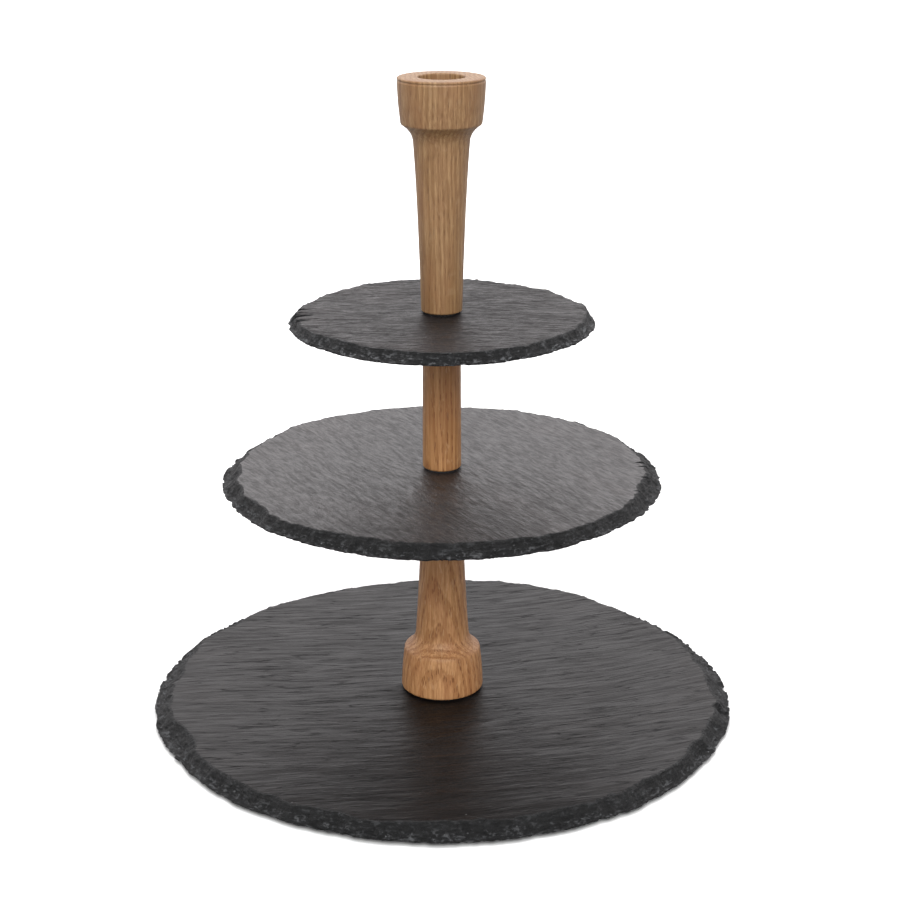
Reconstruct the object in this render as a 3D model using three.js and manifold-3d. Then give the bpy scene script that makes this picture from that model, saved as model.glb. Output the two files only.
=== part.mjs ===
// Tiered cake stand: three round slate plates with knapped edges on turned oak posts.
// The posts screw together on steel studs, and the handle ends in a candle socket.
// Millimetres, +Z up. The table is Z = 0, and every post shares the Z axis.

import * as THREE from 'three';
import { mergeVertices } from 'three/addons/utils/BufferGeometryUtils.js';
import Module from 'manifold-3d';

const wasm = await Module();
wasm.setup();

// Plates
const SLATE_THICKNESS = 6;
const PLATE_HOLE_RADIUS = 3.75;
const FACE_RING_RADIUS = 30; // splits each top face, so that its outer part is flat on its own
const LIP_HEIGHT = 0.9; // the plate is widest just above its underside
const LIP_SETBACK = 0.8;
const KNAP_MID_HEIGHT = 3.2;
const KNAP_MID_SHARE = 0.4; // share of the sloping edge's run already taken at that height
const SCALLOP_DEPTH = 1.6;
const BASE_PLATE = { radius: 150, edgeRun: 9.5, waver: 1.5, phase: 0.4, segments: 120 };
const MIDDLE_PLATE = { radius: 110.65, edgeRun: 8, waver: 1.3, phase: 2.1, segments: 96 };
const TOP_PLATE = { radius: 75.4, edgeRun: 5, waver: 0.9, phase: 3.7, segments: 72 };

// Turned oak
const TURNING_LENGTH = 113.2; // the lower post and the handle are one turning
const COLLAR_RADIUS = 21.1;
const COLLAR_WAIST_RADIUS = 19.5;
const COLLAR_HEIGHT = 22;
const COLLAR_ROUND = 1;
const NECK_RADIUS = 13.75;
const NECK_HEIGHT = 29.5;
const STEM_END_RADIUS = 10.05;
const MIDDLE_POST_LENGTH = 73.1;
const MIDDLE_POST_FOOT_RADIUS = 9.65;
const MIDDLE_POST_HEAD_RADIUS = 9.45;
const POST_EDGE_ROUND = 0.5;
const SOCKET_RADIUS = 11.25; // a household candle is 22 mm across
const SOCKET_DEPTH = 20;
const SOCKET_LEAD_IN = 0.6;

// M6 hardware, with plain cylinders at the threads' outer size
const THREAD_RADIUS = 3;
const TAPPED_RADIUS = 3.3;
const STUD_LENGTH = 40;
const STUD_GLUED_DEPTH = 20;
const STUD_CHAMFER = 0.6;
const INSERT_RADIUS = 5;
const INSERT_LENGTH = 14;
const INSERT_RECESS = 0.3;
const INSERT_RELIEF = 0.4; // room in the wood past the insert's inner end
const GLUE_GAP = 0.02;
const HEAD_RADIUS = 6;
const HEAD_RIM = 0.3;
const HEAD_RECESS = 0.3;
const SCREW_LENGTH = 20;
const HEX_KEY_RADIUS = 2 / Math.cos(Math.PI / 6); // 4 mm across the flats
const HEX_KEY_DEPTH = 2.5;
const CUP_GAP = 0.05;
const CUP_WALL = 0.85;
const CUP_RECESS = 0.2;
const CUP_HEIGHT = 3.2;

// Rubber
const WASHER_THICKNESS = 0.8;
const WASHER_HOLE_RADIUS = 3.4;
const POST_WASHER_RADIUS = 9;
const COLLAR_WASHER_RADIUS = 19.5;
const FOOT_RADIUS = 6;
const FOOT_HEIGHT = 1.5;
const FOOT_CHAMFER = 0.4;
const FOOT_COUNT = 4;
const FOOT_CIRCLE_RADIUS = 115;

const TURNED_SEGMENTS = 40;
const FOOT_SEGMENTS = 24;

// Heights of the stack
const BASE_PLATE_Z = FOOT_HEIGHT;
const BASE_FACE_Z = BASE_PLATE_Z + SLATE_THICKNESS;
const LOWER_POST_Z = BASE_FACE_Z + WASHER_THICKNESS;
const LOWER_POST_TOP_Z = LOWER_POST_Z + TURNING_LENGTH;
const MIDDLE_PLATE_Z = LOWER_POST_TOP_Z + WASHER_THICKNESS;
const MIDDLE_FACE_Z = MIDDLE_PLATE_Z + SLATE_THICKNESS;
const MIDDLE_POST_Z = MIDDLE_FACE_Z + WASHER_THICKNESS;
const MIDDLE_POST_TOP_Z = MIDDLE_POST_Z + MIDDLE_POST_LENGTH;
const TOP_PLATE_Z = MIDDLE_POST_TOP_Z + WASHER_THICKNESS;
const TOP_FACE_Z = TOP_PLATE_Z + SLATE_THICKNESS;
const HANDLE_Z = TOP_FACE_Z + WASHER_THICKNESS;

const MATERIALS = {
  slate: { color: 0x3a393b, roughness: 0.6, metalness: 0 },
  oak: { color: 0x9a7650, roughness: 0.6, metalness: 0 },
  steel: { color: 0xb4b6b8, roughness: 0.35, metalness: 1 },
  brass: { color: 0xb8955a, roughness: 0.4, metalness: 1 },
  rubber: { color: 0x1b1b1c, roughness: 0.9, metalness: 0 },
};

// Turns a half-profile of [radius, height] pairs about Z. It runs up the outside and down the inside.
function turned(profile, segments = TURNED_SEGMENTS) {
  const points = profile.map(([radius, height]) => new THREE.Vector2(radius, height));
  const geometry = new THREE.LatheGeometry(points, segments);
  geometry.rotateX(Math.PI / 2);
  return geometry;
}

function curvePairs(curve, divisions) {
  return curve.getPoints(divisions).map((point) => [point.x, point.y]);
}

function toSolid(geometry) {
  const bare = geometry.index ? geometry.toNonIndexed() : geometry.clone();
  bare.deleteAttribute('normal');
  bare.deleteAttribute('uv');
  const merged = mergeVertices(bare, 1e-4);
  const vertProperties = new Float32Array(merged.attributes.position.array);
  const triVerts = new Uint32Array(merged.index.array);
  return new wasm.Manifold(new wasm.Mesh({ numProp: 3, vertProperties, triVerts }));
}

function toGeometry(solid) {
  const mesh = solid.getMesh();
  const geometry = new THREE.BufferGeometry();
  geometry.setAttribute('position', new THREE.BufferAttribute(mesh.vertProperties, 3));
  geometry.setIndex(new THREE.BufferAttribute(mesh.triVerts, 1));
  geometry.computeVertexNormals();
  return geometry;
}

// How far the broken outline falls inside the full circle: nothing at the four compass points.
function scallop(angle, phase) {
  const awayFromAxes = Math.sin(2 * angle) ** 2;
  const wide = 0.5 + 0.5 * Math.sin(9 * angle + phase);
  const narrow = 0.5 + 0.5 * Math.sin(23 * angle + 2 * phase);
  return SCALLOP_DEPTH * awayFromAxes * (0.6 * wide + 0.4 * narrow);
}

// How much further in the flat top face ends than the plate's usual edge run.
function edgeWaver(angle, plate) {
  const slow = Math.sin(4 * angle + plate.phase);
  const quick = 0.6 * Math.sin(11 * angle - plate.phase);
  return plate.waver * (slow + quick);
}

function breakEdge(geometry, plate) {
  const position = geometry.attributes.position;
  for (let i = 0; i < position.count; i += 1) {
    const x = position.getX(i);
    const y = position.getY(i);
    const radius = Math.hypot(x, y);
    if (radius > FACE_RING_RADIUS + 1) {
      const angle = Math.atan2(y, x);
      const aboveLip = Math.max(0, position.getZ(i) - LIP_HEIGHT);
      const riseShare = aboveLip / (SLATE_THICKNESS - LIP_HEIGHT);
      const inward = scallop(angle, plate.phase) + riseShare * edgeWaver(angle, plate);
      const scale = (radius - inward) / radius;
      position.setXY(i, x * scale, y * scale);
    }
  }
  return geometry;
}

// A round plate with a central hole, sawn flat and knapped to a slope around its upper edge.
function slatePlate(plate, holeProfile) {
  const { radius, edgeRun, segments } = plate;
  const profile = [
    ...holeProfile,
    [radius - LIP_SETBACK, 0],
    [radius, LIP_HEIGHT],
    [radius - edgeRun * KNAP_MID_SHARE, KNAP_MID_HEIGHT],
    [radius - edgeRun, SLATE_THICKNESS],
    [FACE_RING_RADIUS, SLATE_THICKNESS],
    [PLATE_HOLE_RADIUS, SLATE_THICKNESS],
    holeProfile[0],
  ];
  return breakEdge(turned(profile, segments), plate);
}

// The base plate's hole is countersunk from below for the cup washer.
function countersunkHole() {
  const mouthRadius = HEAD_RADIUS + HEAD_RECESS + HEAD_RIM + 2 * CUP_GAP + CUP_WALL;
  return [
    [PLATE_HOLE_RADIUS, mouthRadius - PLATE_HOLE_RADIUS],
    [mouthRadius, 0],
  ];
}

function plainHole() {
  return [[PLATE_HOLE_RADIUS, 0]];
}

// Outside of the turning, from its wide end: rounded rim, collar, sloping shoulder, tapering stem.
function turningOutline() {
  const rim = [0, 0.3, 0.6, 0.85, 1].map((share) => {
    const turn = share * Math.PI / 2;
    const radius = COLLAR_RADIUS - COLLAR_ROUND * (1 - Math.sin(turn));
    return [radius, COLLAR_ROUND * (1 - Math.cos(turn))];
  });
  const collar = new THREE.QuadraticBezierCurve(
    new THREE.Vector2(COLLAR_RADIUS, COLLAR_ROUND),
    new THREE.Vector2(20.9, 11),
    new THREE.Vector2(COLLAR_WAIST_RADIUS, COLLAR_HEIGHT),
  );
  const shoulder = new THREE.QuadraticBezierCurve(
    new THREE.Vector2(COLLAR_WAIST_RADIUS, COLLAR_HEIGHT),
    new THREE.Vector2(14.5, 25.3),
    new THREE.Vector2(NECK_RADIUS, NECK_HEIGHT),
  );
  const stem = new THREE.CubicBezierCurve(
    new THREE.Vector2(NECK_RADIUS, NECK_HEIGHT),
    new THREE.Vector2(12.4, 44),
    new THREE.Vector2(10.9, 80),
    new THREE.Vector2(STEM_END_RADIUS, TURNING_LENGTH),
  );
  return [
    ...rim,
    ...curvePairs(collar, 3).slice(1),
    ...curvePairs(shoulder, 4).slice(1),
    ...curvePairs(stem, 6).slice(1),
  ];
}

function upsideDown(outline) {
  return outline.map(([radius, height]) => [radius, TURNING_LENGTH - height]).reverse();
}

function middlePostOutline() {
  return [
    [MIDDLE_POST_FOOT_RADIUS - POST_EDGE_ROUND, 0],
    [MIDDLE_POST_FOOT_RADIUS, POST_EDGE_ROUND],
    [MIDDLE_POST_HEAD_RADIUS, MIDDLE_POST_LENGTH - POST_EDGE_ROUND],
    [MIDDLE_POST_HEAD_RADIUS - POST_EDGE_ROUND, MIDDLE_POST_LENGTH],
  ];
}

// Blind bore for a threaded insert, open at the bottom of a post.
function insertBore() {
  const radius = INSERT_RADIUS + GLUE_GAP;
  const depth = INSERT_RECESS + INSERT_LENGTH + INSERT_RELIEF;
  return [
    [0, depth],
    [radius, depth],
    [radius, 0],
  ];
}

// Blind bore for a glued stud, open at the top of a post of this length.
function studBore(postLength) {
  const radius = THREAD_RADIUS + GLUE_GAP;
  const floor = postLength - STUD_GLUED_DEPTH - GLUE_GAP;
  return [
    [radius, postLength],
    [radius, floor],
    [0, floor],
  ];
}

// Candle socket in the handle's wide end, with its mouth eased.
function candleSocket() {
  const floor = TURNING_LENGTH - SOCKET_DEPTH;
  return [
    [SOCKET_RADIUS + SOCKET_LEAD_IN, TURNING_LENGTH],
    [SOCKET_RADIUS, TURNING_LENGTH - SOCKET_LEAD_IN],
    [SOCKET_RADIUS, floor],
    [0, floor],
  ];
}

function lowerPost() {
  return turned([...insertBore(), ...turningOutline(), ...studBore(TURNING_LENGTH)]);
}

function middlePost() {
  return turned([...insertBore(), ...middlePostOutline(), ...studBore(MIDDLE_POST_LENGTH)]);
}

function handle() {
  return turned([...insertBore(), ...upsideDown(turningOutline()), ...candleSocket()]);
}

function threadedInsert() {
  return turned([
    [TAPPED_RADIUS, 0],
    [INSERT_RADIUS, 0],
    [INSERT_RADIUS, INSERT_LENGTH],
    [TAPPED_RADIUS, INSERT_LENGTH],
    [TAPPED_RADIUS, 0],
  ]);
}

function stud() {
  const endRadius = THREAD_RADIUS - STUD_CHAMFER;
  return turned([
    [0, 0],
    [endRadius, 0],
    [THREAD_RADIUS, STUD_CHAMFER],
    [THREAD_RADIUS, STUD_LENGTH - STUD_CHAMFER],
    [endRadius, STUD_LENGTH],
    [0, STUD_LENGTH],
  ]);
}

// Countersunk socket screw, head down, with a hexagonal key socket.
function baseScrew() {
  const coneHeight = HEAD_RADIUS - THREAD_RADIUS;
  const body = turned([
    [0, 0],
    [HEAD_RADIUS, 0],
    [HEAD_RADIUS, HEAD_RIM],
    [THREAD_RADIUS, HEAD_RIM + coneHeight],
    [THREAD_RADIUS, SCREW_LENGTH - STUD_CHAMFER],
    [THREAD_RADIUS - STUD_CHAMFER, SCREW_LENGTH],
    [0, SCREW_LENGTH],
  ]);
  const key = new THREE.CylinderGeometry(HEX_KEY_RADIUS, HEX_KEY_RADIUS, 2 * HEX_KEY_DEPTH, 6);
  key.rotateX(Math.PI / 2);
  return toGeometry(toSolid(body).subtract(toSolid(key)));
}

// Cone-shaped washer that lines the base plate's countersink, at the same 45 degree slope.
function cupWasher() {
  const innerMouth = HEAD_RADIUS + HEAD_RECESS - CUP_RECESS + HEAD_RIM + CUP_GAP;
  const outerMouth = innerMouth + CUP_WALL;
  return turned([
    [innerMouth, 0],
    [outerMouth, 0],
    [outerMouth - CUP_HEIGHT, CUP_HEIGHT],
    [innerMouth - CUP_HEIGHT, CUP_HEIGHT],
    [innerMouth, 0],
  ]);
}

function flatWasher(outerRadius) {
  return turned([
    [WASHER_HOLE_RADIUS, 0],
    [outerRadius, 0],
    [outerRadius, WASHER_THICKNESS],
    [WASHER_HOLE_RADIUS, WASHER_THICKNESS],
    [WASHER_HOLE_RADIUS, 0],
  ]);
}

function foot() {
  return turned([
    [0, 0],
    [FOOT_RADIUS - FOOT_CHAMFER, 0],
    [FOOT_RADIUS, FOOT_CHAMFER],
    [FOOT_RADIUS, FOOT_HEIGHT],
    [0, FOOT_HEIGHT],
  ], FOOT_SEGMENTS);
}

const stand = new THREE.Group();

function place(name, geometry, materialName, height) {
  const mesh = new THREE.Mesh(geometry, new THREE.MeshStandardMaterial(MATERIALS[materialName]));
  mesh.name = name;
  mesh.position.z = height;
  stand.add(mesh);
  return mesh;
}

function placeFeet() {
  for (let i = 0; i < FOOT_COUNT; i += 1) {
    const angle = (i + 0.5) * 2 * Math.PI / FOOT_COUNT;
    const mesh = place(`foot_${i + 1}`, foot(), 'rubber', 0);
    mesh.position.x = FOOT_CIRCLE_RADIUS * Math.cos(angle);
    mesh.position.y = FOOT_CIRCLE_RADIUS * Math.sin(angle);
  }
}

// Base: plate, feet, and the screw that the lower post turns down on
place('base_slate', slatePlate(BASE_PLATE, countersunkHole()), 'slate', BASE_PLATE_Z);
placeFeet();
place('base_screw', baseScrew(), 'steel', BASE_PLATE_Z + HEAD_RECESS);
place('base_cup_washer', cupWasher(), 'steel', BASE_PLATE_Z + CUP_RECESS);

// Lower post, and the plate that rests on it
place('lower_post_washer', flatWasher(COLLAR_WASHER_RADIUS), 'rubber', BASE_FACE_Z);
place('lower_post', lowerPost(), 'oak', LOWER_POST_Z);
place('lower_insert', threadedInsert(), 'brass', LOWER_POST_Z + INSERT_RECESS);
place('lower_stud', stud(), 'steel', LOWER_POST_TOP_Z - STUD_GLUED_DEPTH);
place('middle_under_washer', flatWasher(POST_WASHER_RADIUS), 'rubber', LOWER_POST_TOP_Z);
place('middle_slate', slatePlate(MIDDLE_PLATE, plainHole()), 'slate', MIDDLE_PLATE_Z);

// Middle post, and the plate that rests on it
place('middle_over_washer', flatWasher(POST_WASHER_RADIUS), 'rubber', MIDDLE_FACE_Z);
place('middle_post', middlePost(), 'oak', MIDDLE_POST_Z);
place('middle_insert', threadedInsert(), 'brass', MIDDLE_POST_Z + INSERT_RECESS);
place('upper_stud', stud(), 'steel', MIDDLE_POST_TOP_Z - STUD_GLUED_DEPTH);
place('top_under_washer', flatWasher(POST_WASHER_RADIUS), 'rubber', MIDDLE_POST_TOP_Z);
place('top_slate', slatePlate(TOP_PLATE, plainHole()), 'slate', TOP_PLATE_Z);

// Handle
place('top_over_washer', flatWasher(POST_WASHER_RADIUS), 'rubber', TOP_FACE_Z);
place('handle', handle(), 'oak', HANDLE_Z);
place('handle_insert', threadedInsert(), 'brass', HANDLE_Z + INSERT_RECESS);

export default stand;
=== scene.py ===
import itertools
import math
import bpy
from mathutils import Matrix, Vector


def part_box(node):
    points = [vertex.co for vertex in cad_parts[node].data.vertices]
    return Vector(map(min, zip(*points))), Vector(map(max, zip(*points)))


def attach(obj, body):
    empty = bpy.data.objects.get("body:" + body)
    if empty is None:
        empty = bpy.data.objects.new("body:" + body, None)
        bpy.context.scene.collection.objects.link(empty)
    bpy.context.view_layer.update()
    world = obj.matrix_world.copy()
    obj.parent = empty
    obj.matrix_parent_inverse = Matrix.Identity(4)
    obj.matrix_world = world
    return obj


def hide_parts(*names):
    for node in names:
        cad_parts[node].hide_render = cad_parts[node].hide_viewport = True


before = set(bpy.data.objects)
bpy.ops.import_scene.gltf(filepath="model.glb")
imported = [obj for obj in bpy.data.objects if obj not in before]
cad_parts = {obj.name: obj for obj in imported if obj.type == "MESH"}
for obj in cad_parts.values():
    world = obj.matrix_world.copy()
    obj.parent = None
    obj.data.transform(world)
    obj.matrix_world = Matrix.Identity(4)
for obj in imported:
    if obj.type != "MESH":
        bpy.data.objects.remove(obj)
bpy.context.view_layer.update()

from types import SimpleNamespace

import bmesh
import bpy
import numpy as np

# Tiered cake stand: riven slate plates with knapped edges, turned oak posts and M6 hardware.
# Shapes are worked out in millimetres from the CAD nodes, and stored in metres in their frame.

MM = 0.001
TURN = 2 * math.pi

# Sizes shared with the CAD model, in millimetres
HOLE_RADIUS = 3.75
LIP_HEIGHT = 0.9
COLLAR_RADIUS = 21.1
WAIST_RADIUS = 19.5
COLLAR_HEIGHT = 22
NECK_RADIUS = 13.75
NECK_HEIGHT = 29.5
STEM_END_RADIUS = 10.05
SOCKET_RADIUS = 11.25
SOCKET_DEPTH = 20
INSERT_BORE_RADIUS = 5.02
INSERT_BORE_DEPTH = 14.7
STUD_BORE_RADIUS = 3.02
STUD_DEPTH = 20.02
PITCH = 1.0
THREAD_RADIUS = 3.0
THREAD_DEPTH = 0.6

# How each plate was split and trimmed. Angles are in degrees, lengths in millimetres.
# "count" is how many points go round the rim, "cell" the size of the mesh's cells, and "hub" the radius
# inside which the face is flat. The grain runs at "grain_turn" to the X axis and bends by "grain_bend"
# beyond "bend_from". "relief" is the depth of the face's ridges, and "ridges" their length and spacing.
# "strikes" are the width and depth of the bowls that trimming left. "splinters" are the ends of a stretch
# of rim, the width of its torn notches, and how far in the longest reaches. Each of the "scars" is one
# larger bowl: its angle, how far in from the lip its centre is, its radius and its depth.
PLATES = {
    "base_slate": {
        "body": "base", "seed": 11, "count": 1440, "cell": 1.15, "hub": 20.5,
        "grain_turn": 3, "grain_bend": 0.0016, "bend_from": -70, "relief": 0.4, "ridges": (26, 8),
        "strikes": ((24, 3.0), (10, 2.0), (4.5, 1.0)), "splinters": (-4, 12, 5, 10),
        "scars": ((-10, 6, 4.5, 4.6), (-18, 3, 8, 5.2), (-29, 3, 12, 5.6)),
    },
    "middle_slate": {
        "body": "middle_plate", "seed": 23, "count": 1152, "cell": 1.0, "hub": 10,
        "grain_turn": -60, "grain_bend": 0.0, "bend_from": 0, "relief": 0.28, "ridges": (9, 4),
        "strikes": ((17, 2.6), (8, 1.8), (4, 1.0)), "splinters": (-32, 8, 5, 14),
        "scars": ((184, 5, 8, 4.2), (197, 6, 10, 4.2), (213, 6, 12, 4)),
    },
    "top_slate": {
        "body": "top_plate", "seed": 37, "count": 768, "cell": 0.8, "hub": 10,
        "grain_turn": 2, "grain_bend": -0.0016, "bend_from": 0, "relief": 0.42, "ridges": (14, 5.5),
        "strikes": ((14, 2.0), (6.5, 1.6), (3.4, 0.9)), "splinters": (168, 206, 5, 14),
        "scars": ((201, 9, 6, 4), (-20, 5, 7, 3.6)),
    },
}

# How each slate looks. "ripples" and "fibres" are how often those repeat along and across the grain, and
# "bend" how much they wander. "cracks" and "pits" are how deep the fine cracks and small pits are and
# how dark their painted shade is, "relief" how deep the rest of the bump is, "glint" how much the roughness
# varies, and "paleness" how pale the trimmed edge is.
SLATE_LOOKS = {
    "base_slate": {
        "dark": (0.0016, 0.0011, 0.0010), "light": (0.0048, 0.0036, 0.0033),
        "roughness": 0.43, "specular": 0.20, "ripples": (0.030, 0.22), "fibres": (0.05, 0.8), "bend": 0.2,
        "cracks": 0.8, "pits": 0.1, "relief": 1.8, "glint": 0.12, "paleness": 0.75,
    },
    "middle_slate": {
        "dark": (0.0072, 0.0061, 0.0059), "light": (0.0212, 0.0178, 0.0173),
        "roughness": 0.43, "specular": 0.40, "ripples": (0.12, 0.26), "fibres": (0.16, 0.85), "bend": 0.25,
        "cracks": 0.15, "pits": 0.3, "relief": 2.8, "glint": 0.12, "paleness": 0.8,
    },
    "top_slate": {
        "dark": (0.0027, 0.0022, 0.0022), "light": (0.0128, 0.0107, 0.0106),
        "roughness": 0.45, "specular": 0.14, "ripples": (0.07, 0.2), "fibres": (0.2, 0.6), "bend": 1.2,
        "cracks": 0.5, "pits": 0.5, "relief": 2.8, "glint": 0.19, "paleness": 1.6,
    },
}


# Repeatable noise

HASH_FACTORS = (73856093, 19349663, 83492791, 2654435761)  # for x, y, z and the seed
HASH_MIX = 1274126177


def hashed(cell, seed):
    """A repeatable number from 0 to 1 for each whole-number grid point."""
    mixed = seed * HASH_FACTORS[3]
    for part, factor in zip(cell, HASH_FACTORS):
        mixed = (part * factor) ^ mixed
    mixed = ((mixed ^ (mixed >> 13)) & 0xFFFFFFFF) * HASH_MIX & 0xFFFFFFFF
    return ((mixed ^ (mixed >> 16)) & 0xFFFF) / 0xFFFF


def noise(x, y, z=0.0, seed=0):
    """Gradient noise, about -1 to 1, with features about one unit wide."""
    point = np.stack(np.broadcast_arrays(x, y, z)).astype(float)
    cell = np.floor(point).astype(np.int64)
    offset = point - cell
    fade = offset**3 * (offset * (offset * 6 - 15) + 10)
    total = np.zeros(point.shape[1:])
    for corner in itertools.product((0, 1), repeat=3):
        shift = np.array(corner).reshape((3,) + (1,) * (point.ndim - 1))
        away = offset - shift
        weight = np.prod(np.where(shift == 1, fade, 1 - fade), axis=0)
        for axis in range(3):
            total += weight * away[axis] * (2 * hashed(cell + shift, 3 * seed + axis) - 1)
    return 1.6 * total


def fractal(x, y, z=0.0, *, seed, octaves, gain=0.5):
    """Noise with finer and fainter copies of itself added."""
    total = np.zeros(np.broadcast(x, y, z).shape)
    for octave in range(octaves):
        scale = 2.0**octave
        total += gain**octave * noise(x * scale, y * scale, z * scale, seed + 17 * octave)
    return total


def smooth(low, high, value):
    """0 below low, 1 above high, and a smooth rise between them."""
    share = np.clip((value - low) / (high - low), 0, 1)
    return share * share * (3 - 2 * share)


# Meshes

SHARP_ANGLE = 38  # degrees between two faces that meet in a crisp edge
MERGE_DISTANCE = 1e-7  # metres
CORNER_STEPS = 4  # points round an eased corner
WASHER_SIDES = 96
POST_SIDES = 128
FOOT_SIDES = 64


def band_faces(low, count, high, high_count):
    """Faces between two neighbouring rings, one of which may have twice the points of the other."""
    if count == high_count:
        here = np.arange(count)
        after = (here + 1) % count
        return np.stack([low + here, low + after, high + after, high + here], axis=1).tolist()
    coarse = min(count, high_count)
    fine_start, coarse_start = (low, high) if count > high_count else (high, low)
    here = np.arange(coarse)
    corners = [
        fine_start + 2 * here, fine_start + 2 * here + 1, fine_start + (2 * here + 2) % (2 * coarse),
        coarse_start + (here + 1) % coarse, coarse_start + here,
    ]
    return np.stack(corners if count > high_count else corners[::-1], axis=1).tolist()


def close_ends(mesh):
    """Merges the rings that have shrunk to a point on the axis."""
    work = bmesh.new()
    work.from_mesh(mesh)
    bmesh.ops.remove_doubles(work, verts=work.verts, dist=MERGE_DISTANCE)
    work.to_mesh(mesh)
    work.free()


def shell(node, suffix, rings, body, materials, band_materials=None, closed=False, vectors=None):
    """The piece that stands for a CAD node: a round skin over rings of points, in millimetres.

    The rings are joined in order. An open skin starts and ends in a point on the axis, and a closed one
    joins its last ring to its first.
    """
    counts = [len(ring) for ring in rings]
    starts = np.concatenate([[0], np.cumsum(counts)[:-1]]).tolist()
    faces, bands = [], []
    for band in range(len(rings) if closed else len(rings) - 1):
        high = (band + 1) % len(rings)
        made = band_faces(starts[band], counts[band], starts[high], counts[high])
        faces += made
        bands += [band] * len(made)
    mesh = bpy.data.meshes.new(node + suffix)
    mesh.from_pydata((np.concatenate(rings) * MM).tolist(), [], faces)
    if band_materials is not None:
        mesh.polygons.foreach_set("material_index", np.asarray(band_materials)[bands])
    for key, values in (vectors or {}).items():
        layer = mesh.attributes.new(key, "FLOAT_VECTOR", "POINT")
        layer.data.foreach_set("vector", np.concatenate(values).astype(np.float32).ravel())
    for material in materials:
        mesh.materials.append(MATERIALS[material])
    if not closed:
        close_ends(mesh)
    mesh.polygons.foreach_set("use_smooth", np.ones(len(mesh.polygons), dtype=bool))
    mesh.set_sharp_from_angle(angle=math.radians(SHARP_ANGLE))
    piece = bpy.data.objects.new(node + suffix, mesh)
    bpy.context.scene.collection.objects.link(piece)
    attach(piece, body)
    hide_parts(node)


def steps_round(count):
    """The angles of this many even steps of a turn."""
    return np.arange(count) * TURN / count


def level_ring(radius, height, count, centre=(0, 0)):
    """A level ring of points, whose radius may differ from point to point."""
    angle = steps_round(count)
    x = centre[0] + radius * np.cos(angle)
    y = centre[1] + radius * np.sin(angle)
    return np.stack([x, y, np.full(count, height)], axis=1)


def turned(profile, count, centre=(0, 0)):
    """Rings of a (radius, height) profile turned about a vertical axis."""
    return [level_ring(radius, height, count, centre) for radius, height in profile]


def bezier(points, steps):
    """Points along a Bezier curve of any order."""
    curve = []
    for share in np.linspace(0, 1, steps):
        row = [np.array(point, dtype=float) for point in points]
        while len(row) > 1:
            row = [a + (b - a) * share for a, b in zip(row, row[1:])]
        curve.append(tuple(row[0]))
    return curve


def eased(profile, ease):
    """The same open profile with each inner corner rounded over at most this length."""
    made = [profile[0]]
    for before, corner, after in zip(profile, profile[1:], profile[2:]):
        before, corner, after = (np.array(point, dtype=float) for point in (before, corner, after))
        back, on = before - corner, after - corner
        length = min(ease, 0.45 * np.linalg.norm(back), 0.45 * np.linalg.norm(on))
        start = corner + back / np.linalg.norm(back) * length
        end = corner + on / np.linalg.norm(on) * length
        made += bezier([start, corner, end], CORNER_STEPS)
    return made + [profile[-1]]


def spread(profile, gap):
    """The same profile with long straight stretches divided."""
    made = [profile[0]]
    for start, end in zip(profile, profile[1:]):
        parts = max(1, int(math.dist(start, end) / gap))
        for part in range(1, parts + 1):
            made.append(tuple(a + (b - a) * (part / parts) for a, b in zip(start, end)))
    return made


def extents(node):
    """Lowest and highest Z of a CAD node, in millimetres."""
    low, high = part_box(node)
    return low.z / MM, high.z / MM


def height_of(node):
    """How tall a CAD node is, in millimetres."""
    low, high = extents(node)
    return high - low


# Node materials

MIX_SHARE, MIX_FIRST, MIX_SECOND = 0, 6, 7  # the sockets of a Mix node that blends colours
MIX_RESULT = 2


def wire(tree, kind, inputs=None, **settings):
    """Adds a node, sets its properties, and fills its inputs with values or links."""
    made = tree.nodes.new(kind)
    for key, value in settings.items():
        setattr(made, key, value)
    for key, value in (inputs or {}).items():
        if isinstance(value, bpy.types.NodeSocket):
            tree.links.new(value, made.inputs[key])
        else:
            made.inputs[key].default_value = value
    return made


def maths(tree, operation, first, second=0.0, clamp=False):
    """One operation on one or two numbers."""
    node = wire(tree, "ShaderNodeMath", {0: first, 1: second}, operation=operation, use_clamp=clamp)
    return node.outputs[0]


def product(tree, first, *others):
    """Several numbers multiplied together."""
    for other in others:
        first = maths(tree, "MULTIPLY", first, other)
    return first


def scaled_sum(tree, parts):
    """Adds up (value, amount) pairs."""
    total = None
    for value, amount in parts:
        scaled = maths(tree, "MULTIPLY", value, amount)
        total = scaled if total is None else maths(tree, "ADD", total, scaled)
    return total


def vector_maths(tree, operation, first, second):
    """One operation on two vectors."""
    node = wire(tree, "ShaderNodeVectorMath", {0: first, 1: second}, operation=operation)
    return node.outputs[0]


def stretched(tree, vector, scale):
    """The coordinates with each axis scaled by its own amount."""
    return vector_maths(tree, "MULTIPLY", vector, scale)


def cloud(tree, vector, scale, detail=3.0, roughness=0.5, distortion=0.0, output="Fac"):
    """Noise, 0 to 1, over coordinates scaled axis by axis."""
    inputs = {
        "Vector": stretched(tree, vector, scale), "Scale": 1.0, "Detail": detail,
        "Roughness": roughness, "Distortion": distortion,
    }
    return wire(tree, "ShaderNodeTexNoise", inputs).outputs[output]


def cells(tree, vector, scale):
    """Distance to the middle of the nearest of many random cells."""
    inputs = {"Vector": stretched(tree, vector, scale), "Scale": 1.0}
    return wire(tree, "ShaderNodeTexVoronoi", inputs).outputs["Distance"]


def rise(tree, value, low, high, bottom=0.0, top=1.0):
    """Maps low..high smoothly onto bottom..top."""
    inputs = {"Value": value, "From Min": low, "From Max": high, "To Min": bottom, "To Max": top}
    node = wire(tree, "ShaderNodeMapRange", inputs, interpolation_type="SMOOTHSTEP")
    return node.outputs["Result"]


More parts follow.
